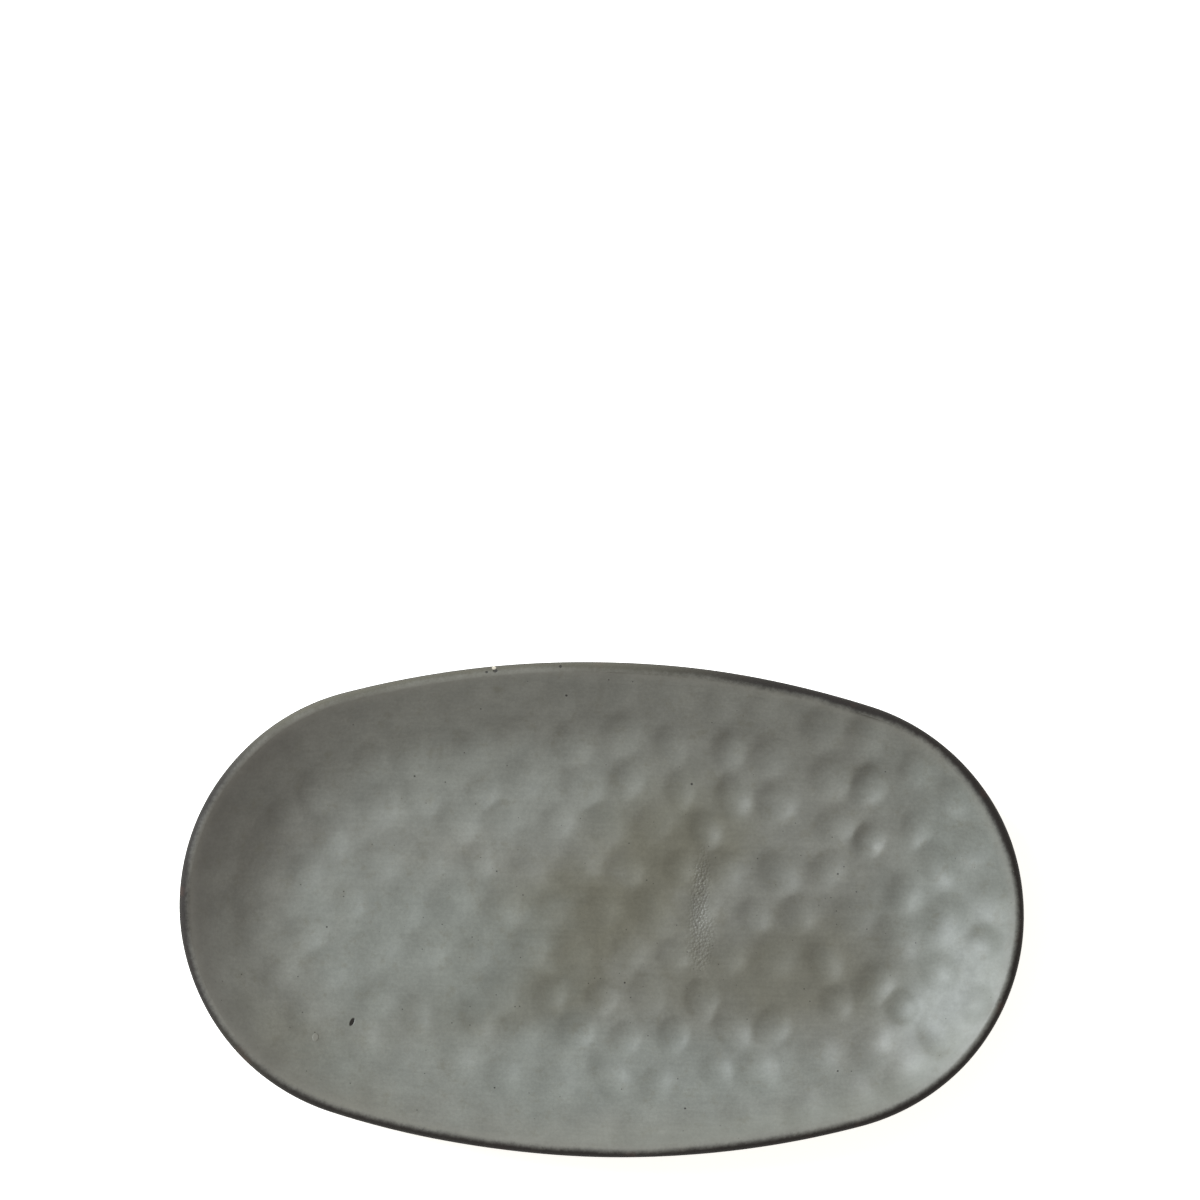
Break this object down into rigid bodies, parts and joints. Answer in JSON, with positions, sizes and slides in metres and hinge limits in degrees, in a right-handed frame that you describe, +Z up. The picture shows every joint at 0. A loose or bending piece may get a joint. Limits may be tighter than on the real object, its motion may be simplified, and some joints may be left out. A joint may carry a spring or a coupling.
{
  "type": "oval serving dish",
  "caption": "Shallow oval stoneware serving dish with a dimpled glazed inside, a round iron-brown lip and a bare clay foot ring.",
  "frame": {"origin": "middle of the plane that the foot ring stands on", "axes": "+X along the dish, +Y across it, +Z up out of the well"},
  "size_m": [0.355, 0.208, 0.031],
  "materials": {
    "bare_stoneware": "matte",
    "grey_green_glaze": "satin",
    "iron_brown_glaze": "satin"
  },
  "bodies": {
    "root": {"clay_dish": "bare_stoneware", "foot_ring": "bare_stoneware", "inside_glaze": "grey_green_glaze", "lip_glaze": "iron_brown_glaze", "outside_glaze": "grey_green_glaze", "base_glaze": "grey_green_glaze"}
  },
  "joints": []
}
